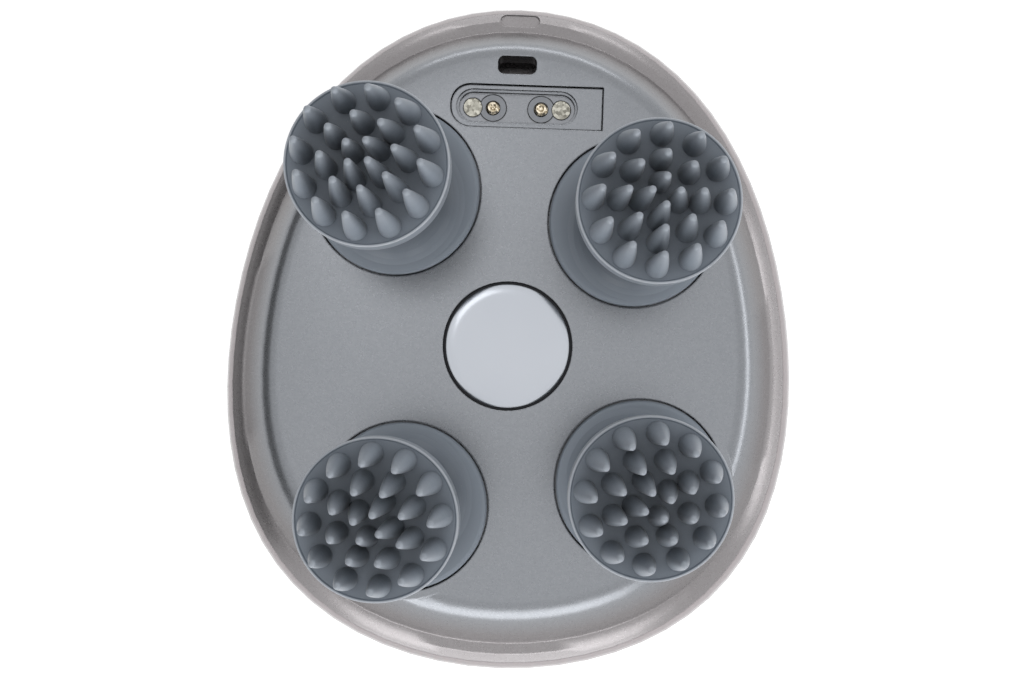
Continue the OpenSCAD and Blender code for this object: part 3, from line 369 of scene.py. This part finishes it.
SLOTS = {
    "silver_paint": silver_paint(),
    "pearl_shell": pearl_shell(),
    "silicone": silicone(),
    "satin_label": satin_label(),
    "seal_rubber": grained("seal_rubber", linear(38, 38, 41), 0.6),
    "steel": grained("ground_steel", linear(188, 190, 193), 0.28, 1.0, scale=2400, spread=0.04),
    "gold_contact": mottled_plate("gold_contact", 3400, linear(128, 116, 92),
                                  linear(236, 226, 206)),
    "socket_plastic": grained("socket_plastic", linear(134, 137, 142), 0.4, 0.6, scale=2600,
                              spread=0.04, gaps=True),
    "nickel": mottled_plate("nickel_plate", 2400, linear(112, 110, 102), linear(184, 182, 172)),
    "inner_plastic": grained("inner_plastic", linear(205, 205, 200), 0.5),
    "bronze": grained("sintered_bronze", linear(176, 136, 84), 0.42, 1.0, scale=2200),
    "motor_steel": grained("motor_steel", linear(180, 182, 186), 0.3, 1.0, scale=1800,
                           spread=0.05),
    "black_plastic": grained("black_plastic", linear(40, 41, 44), 0.45),
    "battery_foil": grained("battery_foil", linear(186, 190, 196), 0.32, 0.85, scale=700,
                            depth=0.06),
    "foam": grained("open_foam", linear(60, 61, 64), 0.95, scale=1600, spread=0.2, depth=0.12),
    "board_green": grained("board_green", linear(36, 92, 58), 0.38, scale=1200),
    "bezel_chrome": grained("bezel_chrome", linear(205, 205, 208), 0.16, 1.0, scale=1500,
                            spread=0.02),
    "lead_rubber": grained("lead_insulation", linear(150, 40, 36), 0.5),
    "plunger_plastic": grained("plunger_plastic", linear(52, 52, 55), 0.4),
    "gear_plastic": grained("acetal_gear", linear(232, 230, 222), 0.36),
    "brass_pinion": grained("brass_pinion", linear(205, 168, 92), 0.26, 1.0, scale=2400),
}

for part in frame["record"]["subparts"]:
    piece = frame["nodes"][part["node"]]
    piece.data.materials.clear()
    piece.data.materials.append(SLOTS[part["material_slot"]])


# ---------------------------------------------------------------- pieces that replace CAD nodes

def stand_in(name, mesh, node, slot):
    """Object that shows in place of a CAD node and rides on its body."""
    piece = bpy.data.objects.new(name, mesh)
    bpy.context.scene.collection.objects.link(piece)
    mesh.materials.append(SLOTS[slot])
    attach(piece, BODY_OF[node])
    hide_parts(node)


def label_cap():
    """Bare round label with a domed edge, in the recess where the flat CAD disc lies."""
    gap, crown_w, crown_drop, crown_steps, turns = 0.12 * MM, 1.6 * MM, 0.13 * MM, 12, 160
    low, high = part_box("label_disc")
    middle = (low + high) / 2
    radius = (high.x - low.x) / 2 - gap
    crown_r = radius - 0.16 * MM
    profile = []
    for step in range(crown_steps + 1):
        out = step / crown_steps
        profile.append((crown_r - crown_w * (1 - out), high.z - crown_drop * out ** 2))
    profile.append((radius - 0.05 * MM, high.z - crown_drop - 0.07 * MM))
    profile.append((radius, low.z + 0.04 * MM))
    profile.append((radius, low.z))

    points, faces = [], []
    for reach, height in profile:
        for k in range(turns):
            a = math.tau * k / turns
            x, y = middle.x + reach * math.cos(a), middle.y + reach * math.sin(a)
            points.append((x, y, height))
    last_row = (len(profile) - 1) * turns
    for row in range(0, last_row, turns):
        for k in range(turns):
            here, after = row + k, row + (k + 1) % turns
            faces.append((here, here + turns, after + turns, after))
    faces.append(tuple(range(turns)))
    faces.append(tuple(last_row + k for k in reversed(range(turns))))

    mesh = bpy.data.meshes.new("label_cap")
    mesh.from_pydata(points, [], faces)
    mesh.validate()
    mesh.polygons.foreach_set("use_smooth", [len(p.vertices) == 4 for p in mesh.polygons])
    stand_in("label_cap", mesh, "label_disc", "satin_label")


def smooth_skin(node, slot, angle):
    """Copy of a lofted CAD shell in its place, smooth over edges that bend less than angle."""
    shape = bmesh.new()
    shape.from_mesh(frame["nodes"][node].data)
    bmesh.ops.remove_doubles(shape, verts=shape.verts, dist=0.001 * MM)
    for face in shape.faces:
        face.smooth = True
    for edge in shape.edges:
        shared = len(edge.link_faces) == 2
        edge.smooth = shared and edge.calc_face_angle() < math.radians(angle)
    mesh = bpy.data.meshes.new(node + "_skin")
    shape.to_mesh(mesh)
    shape.free()
    stand_in(node + "_skin", mesh, node, slot)


label_cap()
smooth_skin("palm_shell", "pearl_shell", 30)
smooth_skin("face_housing", "silver_paint", 25)


# ---------------------------------------------------------------- floor, light and world

# Light that the floor shows of its own, and the world's strength for rays that only gather light.
FLOOR_GLOW = 0.78
DIFFUSE_SKY = 0.45
# Point that the lamps look at.
CENTRE = (0, 0, 0.04)


def matt(name, grey):
    tree = new_material(name)
    tree.set(Base_Color=(grey, grey, grey, 1), Roughness=0.9, Specular_IOR_Level=0.1)
    return tree


def floor_material():
    """Matt floor that keeps the shadow, white to the camera, and clear from below."""
    tree = matt("pale_floor", 0.5)
    glow = tree.node("ShaderNodeEmission")
    glow.inputs["Color"].default_value = (1, 1, 1, 1)
    tree.link(tree.math("MULTIPLY", tree.looked_at(), FLOOR_GLOW), glow.inputs["Strength"])
    above = tree.node("ShaderNodeAddShader")
    tree.link(tree.shader.outputs[0], above.inputs[0])
    tree.link(glow.outputs[0], above.inputs[1])
    below = tree.node("ShaderNodeBsdfTransparent")
    one_sided = tree.node("ShaderNodeMixShader")
    tree.link(tree.node("ShaderNodeNewGeometry").outputs["Backfacing"], one_sided.inputs[0])
    tree.link(above.outputs[0], one_sided.inputs[1])
    tree.link(below.outputs[0], one_sided.inputs[2])
    tree.link(one_sided.outputs[0], tree.nodes["Material Output"].inputs["Surface"])
    return tree.owner


def stage_plane(name, material, size, place, tilt=0):
    """Plane of the stage, size in x and y, turned about y by tilt degrees."""
    bpy.ops.mesh.primitive_plane_add(size=1, location=place, rotation=(0, math.radians(tilt), 0))
    plane = bpy.context.object
    plane.name = name
    plane.scale = (*size, 1)
    plane.data.materials.append(material)
    return plane


def lamp(name, place, size, power):
    """Rectangular soft light at place that looks at the massager, and that the camera can't see."""
    data = bpy.data.lights.new(name, "AREA")
    data.shape = "RECTANGLE"
    data.size, data.size_y = size
    data.energy = power
    made = bpy.data.objects.new(name, data)
    bpy.context.scene.collection.objects.link(made)
    made.location = place
    made.rotation_euler = (Vector(CENTRE) - Vector(place)).to_track_quat("-Z", "Y").to_euler()
    made.visible_camera = False


def studio_world():
    """White where it is seen or mirrored, and dimmer as a source of light."""
    world = bpy.data.worlds.new("studio")
    bpy.context.scene.world = world
    tree = Tree(world, "Background")
    shown = tree.math("MULTIPLY", tree.looked_at(), 1 - DIFFUSE_SKY)
    tree.set(Color=(1, 1, 1, 1), Strength=tree.math("ADD", shown, DIFFUSE_SKY))


stage_plane("floor", floor_material(), (30, 30), (0, 0, -0.02 * MM))

lamp("top_light", (0, 0, 1.64), (1.6, 1.6), 2.6)
lamp("front_light", (-0.03, -0.95, 0.37), (1.1, 0.62), 5.2)
lamp("right_light", (0.95, 0, 0.34), (0.9, 0.25), 2)
lamp("back_light", (0, 0.99, 0.18), (0.9, 0.2), 1.4)
lamp("window", (-0.25, 0.3, 1.4), (0.3, 0.2), 0.3)

# The left side of the paint and the shell mirrors something dark.
card = stage_plane("dark_card", matt("dark_card", 0.16).owner, (0.36, 0.8), (-0.5, 0.05, 0.2), 90)
card.visible_camera = False
card.visible_shadow = False

studio_world()


# ---------------------------------------------------------------- camera

PHOTO_W, PHOTO_H = 1020, 680
# Focal length, and the point of the photograph that the lens axis meets, in its pixels.
FOCAL_PX = 905.2
AIM_PX = (533.1, 380.9)
# The camera looks straight down from here, turned by the roll.
CAMERA_AT = (4.1 * MM, -6.78 * MM, 178.3 * MM)
ROLL = math.radians(2.02)


def photo_camera():
    """Camera straight above the face, with the photograph's off-centre aim as a shift."""
    data = bpy.data.cameras.new("camera")
    data.sensor_fit = "HORIZONTAL"
    data.sensor_width = 36
    data.lens = data.sensor_width * FOCAL_PX / PHOTO_W
    data.shift_x = (PHOTO_W / 2 - AIM_PX[0]) / PHOTO_W
    data.shift_y = (AIM_PX[1] - PHOTO_H / 2) / PHOTO_W
    data.clip_start, data.clip_end = 0.005, 20
    made = bpy.data.objects.new("camera", data)
    bpy.context.scene.collection.objects.link(made)
    made.matrix_world = Matrix.Translation(CAMERA_AT) @ Matrix.Rotation(ROLL, 4, "Z")
    bpy.context.scene.camera = made


photo_camera()
bpy.context.scene.view_settings.view_transform = "Standard"

bpy.context.view_layer.update()
